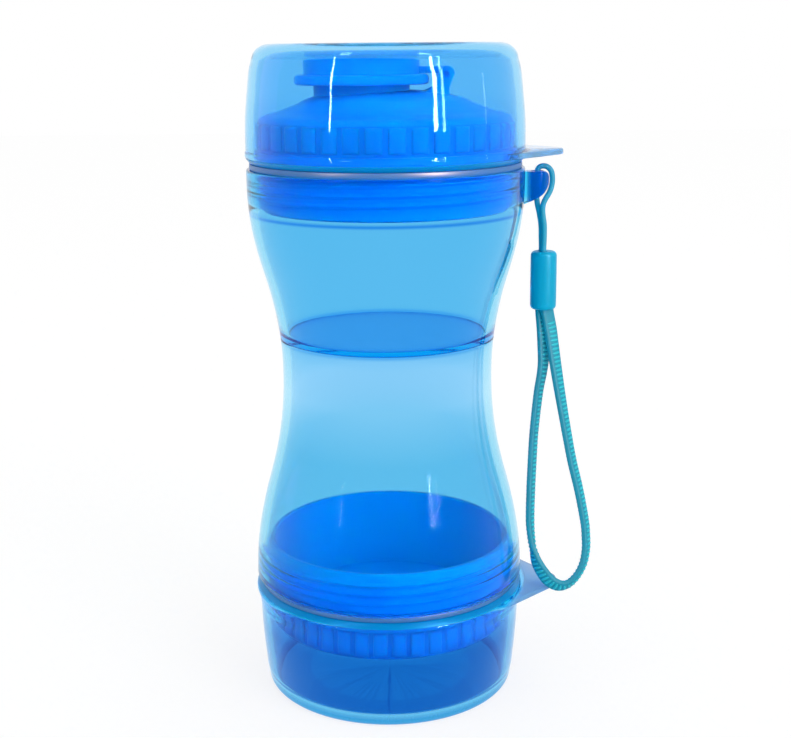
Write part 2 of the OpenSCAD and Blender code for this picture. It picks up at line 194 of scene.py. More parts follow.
# The weft floats on the ribs are glossier, and their lighter colour is a painted highlight for the light they catch
# more than the ground between them
rib_yarn_highlight, nodes = blank_material("polyester_weft_ribs_painted_highlight")
cloth_map = put(nodes, "ShaderNodeTexCoord")
threads = put(nodes, "ShaderNodeTexNoise", {"Vector": cloth_map.outputs["Object"], "Scale": 3200.0, "Detail": 2.0})
shade = put(nodes, "ShaderNodeMix", {"Factor": threads.outputs["Fac"], "A": srgb("#14D0E4"), "B": srgb("#3CE4F0")},
            data_type="RGBA")
cloth = put(nodes, "ShaderNodeBsdfPrincipled", {"Base Color": shade.outputs["Result"], "Roughness": 0.45,
                                                "Specular IOR Level": 0.12})
put(nodes, "ShaderNodeOutputMaterial", {"Surface": cloth.outputs[0]})

strap_route = [(51.64, 0.6, 136, 55), (51.64, 0.6, 129, 55), (52.1, 0.1, 123, 54), (52.3, -0.6, 117.5, 50),
               (52.3, -1.2, 111.4, 41), (51.8, -1.7, 107.1, 36), (50.9, -2.2, 102.2, 32), (50.2, -2.9, 97, 30),
               (49.6, -3.6, 91.7, 28), (49, -4.6, 85.5, 27), (48.5, -6, 77.5, 27), (48, -7.7, 68, 26),
               (47.7, -9.8, 57.8, 24), (48.2, -11.3, 51.2, 12), (48.9, -12.1, 47.7, -12), (49.8, -12.8, 44.5, -38),
               (51.7, -13.4, 41, -56), (54.2, -13.6, 37.9, -62), (57.1, -13.6, 36.3, -58), (59.6, -13.5, 36.4, -44),
               (61.8, -13.4, 37.8, -34), (64.1, -13.2, 40.8, -28), (65.7, -12.8, 44.6, -26), (66.4, -12.2, 49.3, -25),
               (66.3, -11.6, 53.8, -25), (65.9, -11, 58.2, -25), (64, -9.5, 68.4, -26), (61.7, -7.9, 78.2, -27),
               (60.3, -6.7, 85.6, -29), (58.9, -5.4, 93.6, -32), (57.4, -4, 102.6, -38), (56, -2.7, 111.7, -45),
               (55.2, -2, 117.1, -50), (54.5, -1.3, 122, -54), (53.2, -0.9, 129, -55), (52.7, -0.8, 136, -55)]
line, at = smooth_path([p[:3] for p in strap_route], 0.9)
steps = np.linalg.norm(np.diff([p[:3] for p in strap_route], axis=0), axis=1)
turn = np.interp(at / at[-1], np.concatenate([[0], np.cumsum(steps)]) / steps.sum(), [p[3] for p in strap_route])
across, normal = frames_along(line, turn)
band = [(2.45 * math.copysign(abs(math.cos(a)) ** 0.45, math.cos(a)),
         1.0 * math.copysign(abs(math.sin(a)) ** 0.6, math.sin(a)))
        for a in np.linspace(0, 2 * math.pi, 28, endpoint=False)]
strap = swept("lanyard_strap_webbing", line, at, across, normal, band, webbing)

# Its ribs: one float of weft every 1.45 mm on both faces, between two plain selvedges
ribs = bpy.data.node_groups.new("webbing ribs", "GeometryNodeTree")
ribs.interface.new_socket("Geometry", in_out="INPUT", socket_type="NodeSocketGeometry")
rib_size = ribs.interface.new_socket("Rib half size", in_out="INPUT", socket_type="NodeSocketVector")
ribs.interface.new_socket("Geometry", in_out="OUTPUT", socket_type="NodeSocketGeometry")
given = put(ribs, "NodeGroupInput")
bead_shape = put(ribs, "GeometryNodeMeshUVSphere", {"Segments": 10, "Rings": 6, "Radius": 1.0})
sideways = put(ribs, "GeometryNodeInputNamedAttribute", {"Name": "across"}, data_type="FLOAT_VECTOR")
outwards = put(ribs, "GeometryNodeInputNamedAttribute", {"Name": "out"}, data_type="FLOAT_VECTOR")
turn_one = put(ribs, "FunctionNodeAlignRotationToVector", {"Vector": outwards.outputs[0]}, axis="Z")
turn_two = put(ribs, "FunctionNodeAlignRotationToVector", {"Rotation": turn_one.outputs[0],
                                                          "Vector": sideways.outputs[0]}, axis="X", pivot_axis="Z")
laid = put(ribs, "GeometryNodeInstanceOnPoints", {"Points": given.outputs["Geometry"],
                                                  "Instance": bead_shape.outputs["Mesh"],
                                                  "Rotation": turn_two.outputs[0],
                                                  "Scale": given.outputs["Rib half size"]})
solid = put(ribs, "GeometryNodeRealizeInstances", {"Geometry": laid.outputs[0]})
smooth = put(ribs, "GeometryNodeSetShadeSmooth", {"Geometry": solid.outputs[0]})
dressed = put(ribs, "GeometryNodeSetMaterial", {"Geometry": smooth.outputs[0], "Material": rib_yarn_highlight})
put(ribs, "NodeGroupOutput", {"Geometry": dressed.outputs[0]})


def grown(name, seeds, tree, values):
    """Runs a node tree on a mesh of seed points and keeps its result as a plain mesh object."""
    holder = bpy.data.objects.new(name + "_seeds", seeds)
    scene.collection.objects.link(holder)
    modifier = holder.modifiers.new("grow", "NODES")
    modifier.node_group = tree
    for socket, value in values:
        modifier[socket.identifier] = value
    bpy.context.view_layer.update()
    result = bpy.data.meshes.new_from_object(holder.evaluated_get(bpy.context.evaluated_depsgraph_get()))
    holder.modifiers.clear()
    bpy.data.objects.remove(holder)
    result.name = name
    made = bpy.data.objects.new(name, result)
    scene.collection.objects.link(made)
    return made


keep = [i for i in range(len(line)) if 10 < at[i] < at[-1] - 10]
spots = np.arange(at[keep[0]], at[keep[-1]], 1.45)
where = np.stack([np.interp(spots, at, line[:, i]) for i in range(3)], 1)
side = np.stack([np.interp(spots, at, across[:, i]) for i in range(3)], 1)
out = np.stack([np.interp(spots, at, normal[:, i]) for i in range(3)], 1)
seeds = bpy.data.meshes.new("rib_seeds")
seeds.from_pydata([tuple(v) for v in np.vstack([where + out * 0.98, where - out * 0.98]) / 1000], [], [])
for label, vectors in (("across", np.vstack([side, side])), ("out", np.vstack([out, -out]))):
    seeds.attributes.new(label, "FLOAT_VECTOR", "POINT").data.foreach_set("vector", vectors.astype(np.float32).ravel())
strap_ribs = grown("lanyard_strap_ribs", seeds, ribs, [(rib_size, (0.0018, 0.00046, 0.00036))])

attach(strap, "lanyard")
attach(strap_ribs, "lanyard")
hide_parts("lanyard_strap")

# Lanyard bead
# A barrel moulded in one shot from soft turquoise plastic. The cord is glued in its upper slot
# and the strap in its lower one, so both leave it through a snug opening with rounded lips.
def turned(name, rings, azimuths, finish, middle=(0, 0), sharp=38, joined=False):
    """A body of revolution. Each ring is (radius, height), as numbers or one value for each azimuth.
    A ring of radius 0 is a pole; joined links the last ring to the first."""
    verts, rows = [], []
    for r, z in rings:
        r = np.broadcast_to(np.asarray(r, float), azimuths.shape)
        z = np.broadcast_to(np.asarray(z, float), azimuths.shape)
        if r.max() < 1e-9:
            rows.append([len(verts)])
            verts.append((middle[0], middle[1], z[0]))
        else:
            rows.append(list(range(len(verts), len(verts) + len(azimuths))))
            verts += list(zip(middle[0] + r * np.cos(azimuths), middle[1] + r * np.sin(azimuths), z))
    faces = []
    for low, high in zip(rows, rows[1:] + ([rows[0]] if joined else [])):
        for j in range(len(azimuths)):
            k = (j + 1) % len(azimuths)
            if len(low) == 1:
                faces.append((low[0], high[k], high[j]))
            elif len(high) == 1:
                faces.append((low[j], low[k], high[0]))
            else:
                faces.append((low[j], low[k], high[k], high[j]))
    return mesh_piece(name, verts, faces, finish, sharp=sharp)


def cut(piece, tool, how):
    """Joins a helper solid to a piece or takes it away, and removes the helper."""
    modifier = piece.modifiers.new("cut", "BOOLEAN")
    modifier.operation, modifier.solver, modifier.object = how, "EXACT", tool
    bpy.context.view_layer.update()
    result = bpy.data.meshes.new_from_object(piece.evaluated_get(bpy.context.evaluated_depsgraph_get()))
    piece.modifiers.clear()
    old, piece.data = piece.data, result
    result.name = old.name
    bpy.data.meshes.remove(old)
    bpy.data.objects.remove(tool)
    result.shade_smooth()
    result.set_sharp_from_angle(angle=math.radians(38))
    return piece


def block(name, low, high, finish, turn=0.0, middle=(0, 0)):
    """A box between two corners, in millimetres, turned about a vertical line."""
    corners = np.array([(x, y, z) for x in (low[0], high[0]) for y in (low[1], high[1]) for z in (low[2], high[2])])
    c, s = math.cos(turn), math.sin(turn)
    placed = [(middle[0] + x * c - y * s, middle[1] + x * s + y * c, z) for x, y, z in corners]
    faces = [(0, 1, 3, 2), (4, 6, 7, 5), (0, 4, 5, 1), (2, 3, 7, 6), (0, 2, 6, 4), (1, 5, 7, 3)]
    return mesh_piece(name, placed, faces, finish)


# Soft injection-moulded plastic, dyed turquoise: satin, with a faint mould texture
soft_plastic, nodes = blank_material("moulded_soft_plastic")
place = put(nodes, "ShaderNodeTexCoord")
grain = put(nodes, "ShaderNodeTexNoise", {"Vector": place.outputs["Object"], "Scale": 900.0, "Detail": 3.0})
haze = put(nodes, "ShaderNodeMapRange", {"Value": grain.outputs["Fac"], "To Min": 0.34, "To Max": 0.46})
relief = put(nodes, "ShaderNodeBump", {"Height": grain.outputs["Fac"], "Strength": 0.12, "Distance": 0.0001})
plastic = put(nodes, "ShaderNodeBsdfPrincipled", {"Base Color": srgb("#00BCE8"), "Roughness": haze.outputs[0],
                                                  "Normal": relief.outputs[0], "Subsurface Weight": 0.15,
                                                  "Subsurface Radius": (0.2, 0.8, 1.0), "Subsurface Scale": 0.001,
                                                  "Specular IOR Level": 0.25, "Specular Tint": srgb("#80D0FF")})
put(nodes, "ShaderNodeOutputMaterial", {"Surface": plastic.outputs[0]})

circle48 = np.linspace(0, 2 * math.pi, 48, endpoint=False)
lips = [(2.9 + 1.4 * math.sin(a), 1.4 - 1.4 * math.cos(a)) for a in np.linspace(0, math.pi / 2, 7)]
barrel = [(0, 0)] + lips + [(4.33, 6), (4.33, 13.5)] + [(r, 19.5 - z) for r, z in reversed(lips)] + [(0, 19.5)]
bead = turned("lanyard_bead_barrel", [(r, 128.9 + z) for r, z in barrel], circle48, soft_plastic, middle=(52, 0))
cut(bead, block("cord_slot", (50.2, -1.95, 138.9), (52.9, 1.95, 170), soft_plastic), "DIFFERENCE")
cut(bead, block("strap_slot", (-1.95, -2.65, 120), (2.15, 2.8, 136.9), soft_plastic, math.radians(-55), (52.1, -0.05)),
    "DIFFERENCE")
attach(bead, "lanyard")
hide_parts("lanyard_bead")

# Upper body
# The water chamber: one clear tinted polycarbonate moulding with its floor, the threaded mouth
# for the water cap and the lug for the lanyard. It is welded to the lower moulding under the floor.
def clear_plastic(name, levels, density, waviness, outer, shine="#64B0FF"):
    """Tinted clear polycarbonate, a moulded skin that is never quite flat. Each level is a height, the tint there, with
    its painted light and shade, and its roughness; outer is the tint of what stands out beyond the round wall: deeper
    on a thick lug, a pale painted reflection on a tab."""
    made, tree = blank_material(name)
    place = put(tree, "ShaderNodeTexCoord")
    flow = put(tree, "ShaderNodeTexNoise", {"Vector": place.outputs["Object"], "Scale": 95.0, "Detail": 2.0})
    skin = put(tree, "ShaderNodeBump", {"Height": flow.outputs["Fac"], "Strength": waviness, "Distance": 0.0006})
    spot = put(tree, "ShaderNodeSeparateXYZ", {"Vector": place.outputs["Object"]})
    rise = put(tree, "ShaderNodeMapRange", {"Value": spot.outputs["Z"], "From Max": 0.22})
    tone = put(tree, "ShaderNodeValToRGB", {"Fac": rise.outputs[0]})
    stops = tone.color_ramp.elements
    while len(stops) < len(levels):
        stops.new(0.5)
    for stop, (height, tint, rough) in zip(stops, levels):
        stop.position = height / 0.22
        stop.color = srgb(tint, rough)
    flat = put(tree, "ShaderNodeVectorMath", {0: place.outputs["Object"], 1: (1.0, 1.0, 0.0)}, operation="MULTIPLY")
    radius = put(tree, "ShaderNodeVectorMath", {0: flat.outputs[0]}, operation="LENGTH")
    beyond = put(tree, "ShaderNodeMapRange", {"Value": radius.outputs["Value"], "From Min": 0.0462, "From Max": 0.0472})
    colour = put(tree, "ShaderNodeMix", {"Factor": beyond.outputs[0], "A": tone.outputs["Color"], "B": srgb(outer)},
                 data_type="RGBA")
    clear = put(tree, "ShaderNodeMapRange", {"Value": beyond.outputs[0], "To Min": 1.0, "To Max": 0.4})
    glass = put(tree, "ShaderNodeBsdfPrincipled", {"Base Color": colour.outputs["Result"], "Roughness": tone.outputs["Alpha"],
                                                   "IOR": 1.3, "Specular Tint": srgb(shine),
                                                   "Transmission Weight": clear.outputs[0],
                                                   "Normal": skin.outputs[0]})
    inside = put(tree, "ShaderNodeVolumeAbsorption", {"Color": srgb("#20F4FF"), "Density": density})
    put(tree, "ShaderNodeOutputMaterial", {"Surface": glass.outputs[0], "Volume": inside.outputs[0]})
    return made


def smooth_curve(points, xs):
    """A monotone cubic through points, rounded a little so that its gloss runs evenly."""
    x, y = np.array(points, float).T
    h, d = np.diff(x), np.diff(y) / np.diff(x)
    m = np.zeros_like(y)
    for k in range(1, len(x) - 1):
        if d[k - 1] * d[k] > 0:
            a, b = 2 * h[k] + h[k - 1], h[k] + 2 * h[k - 1]
            m[k] = (a + b) / (a / d[k - 1] + b / d[k])
    i = np.clip(np.searchsorted(x, xs) - 1, 0, len(x) - 2)
    s = (xs - x[i]) / h[i]
    return (y[i] * (1 + 2 * s) * (1 - s) ** 2 + m[i] * h[i] * s * (1 - s) ** 2
            + y[i + 1] * s * s * (3 - 2 * s) + m[i + 1] * h[i] * s * s * (s - 1))


waist = [(0, 1), (0.03, 0.99), (0.07, 0.966), (0.097, 0.926), (0.1215, 0.872), (0.1476, 0.811), (0.1724, 0.742),
         (0.1978, 0.665), (0.2225, 0.579), (0.2487, 0.484), (0.2749, 0.391), (0.3018, 0.302), (0.3287, 0.224),
         (0.3549, 0.16), (0.3811, 0.105), (0.4073, 0.064), (0.4327, 0.033), (0.4589, 0.012), (0.497, 0),
         (0.5353, 0.008), (0.5607, 0.026), (0.5862, 0.056), (0.6109, 0.096), (0.6364, 0.148), (0.6611, 0.211),
         (0.6858, 0.281), (0.7105, 0.361), (0.7353, 0.455), (0.76, 0.555), (0.784, 0.647), (0.8073, 0.73),
         (0.8313, 0.806), (0.8553, 0.868), (0.8778, 0.918), (0.9018, 0.957), (0.9258, 0.981), (0.955, 0.997), (1, 1)]
heights = np.arange(39.0, 176.51, 0.5)
outline = 34.9 + 10.4 * smooth_curve(waist, (heights - 39) / 137.5)
kernel = np.exp(-0.5 * (np.arange(-12, 13) * 0.5 / 2.4) ** 2)
outline = np.convolve(np.pad(outline, 12, mode="edge"), kernel / kernel.sum(), mode="valid")


def body_radius(z):
    return np.interp(z, heights, outline)


def thread_height(azimuths, z, start, turns, pitch=3.0):
    """How much of a screw ridge stands at each azimuth at height z: 0 off it and 1 on its crest."""
    total = np.zeros(len(azimuths))
    for k in range(-1, turns + 1):
        share = azimuths / (2 * math.pi) + k
        off = np.minimum(np.abs(z - start - pitch * share), 1.1)
        ends = np.clip(np.minimum(share, turns - share) * 10, 0, 1)
        total = np.maximum(total, (0.5 + 0.5 * np.cos(off / 1.1 * math.pi)) * ends * ends * (3 - 2 * ends))
    return total


circle = np.linspace(0, 2 * math.pi, 240, endpoint=False)
# Painted light and shade in the body's tint by height: a paler band between 85 and 120 mm, palest near 103 mm, for
# light that comes through from behind, and a dark line at 162 mm where the cap skirt's edge shows through the wall. The
# darker band at 120 to 123 mm is the weld line; the thread zones at both ends are rougher and a deeper blue.
body_blue_painted_light = clear_plastic(
    "clear_blue_polycarbonate", [(0.046, "#48CCFA", 0.12), (0.0505, "#A8DDF5", 0.02), (0.085, "#A8DDF5", 0.02),
                                 (0.103, "#DAECFE", 0.02), (0.116, "#BCE2FA", 0.02), (0.1197, "#A8DAF8", 0.02),
                                 (0.1204, "#60B8F4", 0.02), (0.1225, "#60B8F4", 0.02), (0.123, "#A4DCF7", 0.02),
                                 (0.1616, "#A4DCF7", 0.02), (0.162, "#2C9CF0", 0.02), (0.1628, "#2C9CF0", 0.02),
                                 (0.1632, "#A4DCF7", 0.02), (0.1645, "#A4DCF7", 0.05), (0.167, "#48CCFA", 0.12)],
    60.0, 0.03, "#007CE0", "#1A3A5C")
seam_r = float(body_radius(121))
rings = [(0, 120.97), (seam_r - 3, 120.97), (seam_r - 0.12, 120.97), (seam_r - 0.02, 121.06)]
rings += [(body_radius(z), z) for z in np.arange(121.7, 175.8, 0.9)]
rings += [(45.3, 176.0), (45.2, 176.3), (45.0, 176.47), (44.7, 176.5), (43.2, 176.5), (42.85, 176.45), (42.66, 176.3)]
rings += [(42.6 - 0.25 * thread_height(circle, z, 167.7125, 2), z) for z in np.arange(176.0, 166.0, -0.16)]
rings += [(min(42.6, body_radius(z) - 2.7 + 0.3 * math.exp(-(165.8 - z) / 1.5)), z)
          for z in np.concatenate([np.arange(165.8, 161.5, -0.22), np.arange(161.0, 122.6, -1.1)])]
rings += [(seam_r - 2.75, 122.35), (seam_r - 2.9, 122.2)]
rings += [(22, 122.2), (10, 122.2), (0, 122.2)]
upper = turned("body_upper_shell", rings, circle, body_blue_painted_light, sharp=75)

# The lug: a block with a rounded end and a slanted underside, a hole down through it
stations = [(42.9, 3.9), (44.9, 3.9), (46.5, 3.9), (48, 3.9)] + [(49.35 + 3.95 * math.sin(a), 3.95 * math.cos(a))
                                                              for a in np.linspace(0.05, math.pi / 2 - 0.12, 9)]
underside = [np.interp(x, [42.9, 44.5, 48, 49.8, 51.4, 52.6, 53.2, 53.3],
                       [163.9, 164.1, 165.5, 166.4, 167.6, 169.2, 170.8, 171.6]) for x, _ in stations]
overside = [np.interp(x, [52.0, 52.9, 53.3], [174.8, 174.0, 172.9]) for x, _ in stations]
verts, faces = [], []
for (x, y), low, high in zip(stations, underside, overside):
    verts += [(x, -y, low), (x, y, low), (x, y, high), (x, -y, high)]
for i in range(len(stations) - 1):
    for j in range(4):
        faces.append((4 * i + j, 4 * i + (j + 1) % 4, 4 * i + 4 + (j + 1) % 4, 4 * i + 4 + j))
faces += [(0, 1, 2, 3), tuple(4 * len(stations) - 4 + j for j in (3, 2, 1, 0))]
lug = mesh_piece("lug", verts, faces, body_blue_painted_light)
edges = lug.modifiers.new("edges", "BEVEL")
edges.width, edges.segments, edges.limit_method = 0.0005, 3, "ANGLE"
hole = turned("hole", [(0, 160), (2, 160), (2, 180), (0, 180)], circle48, body_blue_painted_light, middle=(49.4, 0))
cut(lug, hole, "DIFFERENCE")
cut(upper, lug, "UNION")
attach(upper, "bottle")
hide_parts("body_upper")

# Lower body
# The food chamber: the same clear polycarbonate, open below, with the thread for the food cap.
# Its upper rim is welded under the floor of the water chamber, which shows as a fine line.
rings = [(42.66, 39.2), (42.85, 39.05), (43.2, 39.0), (44.7, 39.0), (45.0, 39.03), (45.2, 39.2), (45.3, 39.5)]
rings += [(body_radius(z), z) for z in np.arange(40.2, 120.5, 0.9)]
rings += [(seam_r - 0.02, 120.94), (seam_r - 0.12, 121.02), (seam_r - 1.4, 121.02), (seam_r - 2.6, 121.02),
          (seam_r - 2.7, 120.94)]
rings += [(min(42.6, body_radius(z) - 2.7 + 0.3 * math.exp(-(z - 49.7) / 1.5)), z) for z in np.arange(119.9, 49.7, -0.9)]
rings += [(42.6 - 0.25 * thread_height(circle, z, 41.7875, 2), z) for z in np.arange(49.4, 39.4, -0.16)]
lower = turned("body_lower_shell", rings, circle, body_blue_painted_light, sharp=75, joined=True)
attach(lower, "bottle")
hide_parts("body_lower")

# Seals
# Two flat rings of milky silicone, pressed between the body's rims and the caps' flanges.
# Their edge is rounded by the squeeze and shows as a pale band above and below the body.
silicone, nodes = blank_material("milky_silicone")
place = put(nodes, "ShaderNodeTexCoord")
cloud = put(nodes, "ShaderNodeTexNoise", {"Vector": place.outputs["Object"], "Scale": 60.0, "Detail": 2.0})
tone = put(nodes, "ShaderNodeMix", {"Factor": cloud.outputs["Fac"], "A": srgb("#3C94DC"), "B": srgb("#58A0E0")},
           data_type="RGBA")
rubber = put(nodes, "ShaderNodeBsdfPrincipled", {"Base Color": tone.outputs["Result"], "Roughness": 0.38, "IOR": 1.41,
                                                 "Transmission Weight": 0.35, "Subsurface Weight": 0.4,
                                                 "Subsurface Radius": (1.0, 1.0, 1.0), "Subsurface Scale": 0.002})
put(nodes, "ShaderNodeOutputMaterial", {"Surface": rubber.outputs[0]})
for name, node, body, z in (("water_seal_ring", "water_seal", "water_ring", 176.5),
                            ("food_seal_ring", "food_seal", "food_ring", 37.0)):
    bulge = [(44.05 + 0.25 * math.sin(a), z + 1 - 0.94 * math.cos(a)) for a in np.linspace(0.25, math.pi - 0.25, 9)]
    ring = turned(name, [(41.32, z + 0.03), (43.8, z + 0.03)] + bulge + [(43.8, z + 1.97), (41.32, z + 1.97)], circle,
                  silicone, joined=True)
    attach(ring, body)
    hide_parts(node)

# Water cap
# Moulded in blue polypropylene: a threaded skirt that screws into the body, a flange on the seal,
# a land that the bowl pushes over, a ribbed grip ring, a dome, the spout and two hinge ears.
def moulded_blue(name, colour, deep):
    """Blue polypropylene as moulded: satin and slightly cloudy, two close shades mixed by a soft noise."""
    made, tree = blank_material(name)
    place = put(tree, "ShaderNodeTexCoord")
    cloud = put(tree, "ShaderNodeTexNoise", {"Vector": place.outputs["Object"], "Scale": 45.0, "Detail": 2.0})
    tone = put(tree, "ShaderNodeMix", {"Factor": cloud.outputs["Fac"], "A": srgb(deep), "B": srgb(colour)},
               data_type="RGBA")
    grain = put(tree, "ShaderNodeTexNoise", {"Vector": place.outputs["Object"], "Scale": 700.0, "Detail": 3.0})
    haze = put(tree, "ShaderNodeMapRange", {"Value": grain.outputs["Fac"], "To Min": 0.24, "To Max": 0.36})
    relief = put(tree, "ShaderNodeBump", {"Height": grain.outputs["Fac"], "Strength": 0.08, "Distance": 0.0001})
    plastic = put(tree, "ShaderNodeBsdfPrincipled", {"Base Color": tone.outputs["Result"], "Normal": relief.outputs[0],
                                                     "Roughness": haze.outputs[0], "Subsurface Weight": 0.5,
                                                     "Subsurface Radius": (0.1, 0.5, 1.0), "Subsurface Scale": 0.004,
                                                     "Specular IOR Level": 0.25, "Specular Tint": srgb("#3C9CFF")})
    put(tree, "ShaderNodeOutputMaterial", {"Surface": plastic.outputs[0]})
    return made


cap_blue = moulded_blue("blue_polypropylene", "#009CE0", "#0094D8")
# A darker blue that paints the shade between the grip's ribs
groove_shade_blue = moulded_blue("blue_polypropylene_groove_shade", "#0090D8", "#0088D0")


def cap_rings(inside, skirt, base, top):
    """Profile of a cap for the upper end: up the skirt's thread, over flange, land and grip, back inside."""
    profile = [(39.0, 163.9), (39.5, 163.5), (40.5, 163.5), (41.0, 163.9)] + skirt
    profile += [(41.1, 178.55), (43.9, 178.55), (44.2, 178.75), (45.25, 180.05), (45.3, 180.25), (42.6, 180.25),
                (42.4, 180.5), (42.4, 182.2), (42.2, 182.6), (base + 0.1, 182.7), (base, 182.9), (base, 184.2),
                (base, top)]
    return profile + inside


skirt = [(41.1 + 0.9 * thread_height(circle, z, 166.2125, 3), z) for z in np.arange(164.6, 178.0, 0.16)]
dome = [(41.15, 191.8), (40.75, 192.6), (40.0, 193.3), (38.5, 193.85), (36, 194.35), (34.2, 194.8), (32.6, 195.35),
        (30.5, 196.2), (28.5, 196.9), (26.8, 197.9), (25.2, 198.6), (23.6, 199.1), (20, 200.0), (15, 200.7), (7, 201.2),
        (0, 201.3), (0, 199.2), (7, 199.0), (15, 198.3), (22, 196.8), (28, 194.7), (33, 192.9), (37, 191.8),
        (38.2, 191.2), (38.75, 190.3), (38.9, 188.9), (38.9, 180), (38.9, 170)]


def closed_cap(name, inside, skirt, base, top, finish):
    """A cap as one closed skin: from the inner pole down the skirt and up to the outer pole."""
    rows = cap_rings(inside, skirt, base, top)
    split = [i for i, (r, _) in enumerate(rows) if np.max(r) == 0]
    return turned(name, rows[split[1]:] + rows[:split[0] + 1], circle, finish)


def paint_groove_shade(cap, radius, low, high):
    """Painted shade on the ground of the grip ring, between the ribs: a darker blue where less light gets in."""
    cap.data.materials.append(groove_shade_blue)
    for face in cap.data.polygons:
        x, y, z = face.center * 1000
        if abs(math.hypot(x, y) - radius) < 0.12 and low < z < high:
            face.material_index = 1


water_cap = closed_cap("water_cap_shell", dome, skirt, 41.25, 190.8, cap_blue)
paint_groove_shade(water_cap, 41.25, 183.3, 191.5)
neck = turned("neck", [(0, 197.2), (15.2, 197.2), (15.5, 197.5), (15.5, 204.1), (15.4, 204.45), (15.1, 204.6), (0, 204.6)],
              circle48, cap_blue, middle=(-7.5, 0))
cut(water_cap, neck, "UNION")
bore = turned("bore", [(0, 186), (12.5, 186), (12.5, 204.2), (12.9, 204.65), (12.9, 208), (0, 208)], circle48, cap_blue,
              middle=(-7.5, 0))
cut(water_cap, bore, "DIFFERENCE")


def plate(name, outline_xz, low_y, high_y, finish):
    """A flat plate upright in the X-Z plane between two Y values."""
    n = len(outline_xz)
    verts = [(x, y, z) for y in (low_y, high_y) for x, z in outline_xz]
    faces = [tuple(range(n)), tuple(range(2 * n - 1, n - 1, -1))]
    faces += [(j, (j + 1) % n, n + (j + 1) % n, n + j) for j in range(n)]
    return mesh_piece(name, verts, faces, finish)


ear_outline = [(19.4 + 2.6 * math.cos(a), 206.1 + 2.6 * math.sin(a)) for a in np.linspace(0, math.pi, 17)]
ear_outline += [(16.6, 204.4), (16.2, 203), (15.5, 202.1), (14.5, 201.5), (13, 200.9), (13, 198.7), (20.5, 198), (20.2, 201.5),
                (21.1, 204.1)]
for low_y, high_y in ((-8, -5.8), (5.8, 8)):
    cut(water_cap, plate("ear", ear_outline, low_y, high_y, cap_blue), "UNION")
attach(water_cap, "water_lid")
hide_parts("water_cap")

# The grip: 38 rounded ribs moulded on the ring, all alike, for fingers to turn the cap by
grip = bpy.data.node_groups.new("grip ribs", "GeometryNodeTree")
grip.interface.new_socket("Geometry", in_out="INPUT", socket_type="NodeSocketGeometry")
grip_count = grip.interface.new_socket("Ribs", in_out="INPUT", socket_type="NodeSocketInt")
grip_radius = grip.interface.new_socket("Ring radius", in_out="INPUT", socket_type="NodeSocketFloat")
grip_height = grip.interface.new_socket("Ring height", in_out="INPUT", socket_type="NodeSocketFloat")
grip.interface.new_socket("Geometry", in_out="OUTPUT", socket_type="NodeSocketGeometry")
given = put(grip, "NodeGroupInput")
stand = put(grip, "GeometryNodeMeshCircle", {"Vertices": given.outputs["Ribs"], "Radius": given.outputs["Ring radius"]})
spot = put(grip, "GeometryNodeInputPosition")
facing = put(grip, "FunctionNodeAlignRotationToVector", {"Vector": spot.outputs[0]}, axis="X", pivot_axis="Z")
laid = put(grip, "GeometryNodeInstanceOnPoints", {"Points": stand.outputs[0], "Instance": given.outputs["Geometry"],
                                                  "Rotation": facing.outputs[0]})
lift = put(grip, "ShaderNodeCombineXYZ", {"Z": given.outputs["Ring height"]})
raised = put(grip, "GeometryNodeTransform", {"Geometry": laid.outputs[0], "Translation": lift.outputs[0]})
solid = put(grip, "GeometryNodeRealizeInstances", {"Geometry": raised.outputs[0]})
smooth = put(grip, "GeometryNodeSetShadeSmooth", {"Geometry": solid.outputs[0]})
dressed = put(grip, "GeometryNodeSetMaterial", {"Geometry": smooth.outputs[0], "Material": cap_blue})
put(grip, "NodeGroupOutput", {"Geometry": dressed.outputs[0]})


def one_rib(tall, half):
    """A rib 0.65 mm proud with round shoulders, closed at both ends."""
    steps = np.linspace(-math.pi / 2, math.pi / 2, 9)
    levels = [(-tall / 2, 0.2), (-tall / 2 + 0.25, 0.75), (-tall / 2 + 0.8, 1.0), (tall / 2 - 0.8, 1.0),
              (tall / 2 - 0.25, 0.75), (tall / 2, 0.2)]
    verts = [((-0.4 + 1.05 * full * math.cos(a) ** 0.7 if abs(a) < 1.5 else -0.4) / 1000, half * math.sin(a) / 1000, z / 1000)
             for z, full in levels for a in steps]
    n = len(steps)
    faces = [(i * n + j, i * n + j + 1, (i + 1) * n + j + 1, (i + 1) * n + j) for i in range(5) for j in range(n - 1)]
    faces += [(i * n + n - 1, i * n, (i + 1) * n, (i + 1) * n + n - 1) for i in range(5)]
    faces += [tuple(range(n - 1, -1, -1)), tuple(5 * n + j for j in range(n))]
    mesh = bpy.data.meshes.new("rib")
    mesh.from_pydata(verts, [], faces)
    work = bmesh.new()
    work.from_mesh(mesh)
    bmesh.ops.recalc_face_normals(work, faces=work.faces)
    work.to_mesh(mesh)
    work.free()
    return mesh


water_grip = grown("water_cap_grip", one_rib(7.8, 2.65), grip, [(grip_count, 38), (grip_radius, 0.04135), (grip_height, 0.1875)])
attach(water_grip, "water_lid")

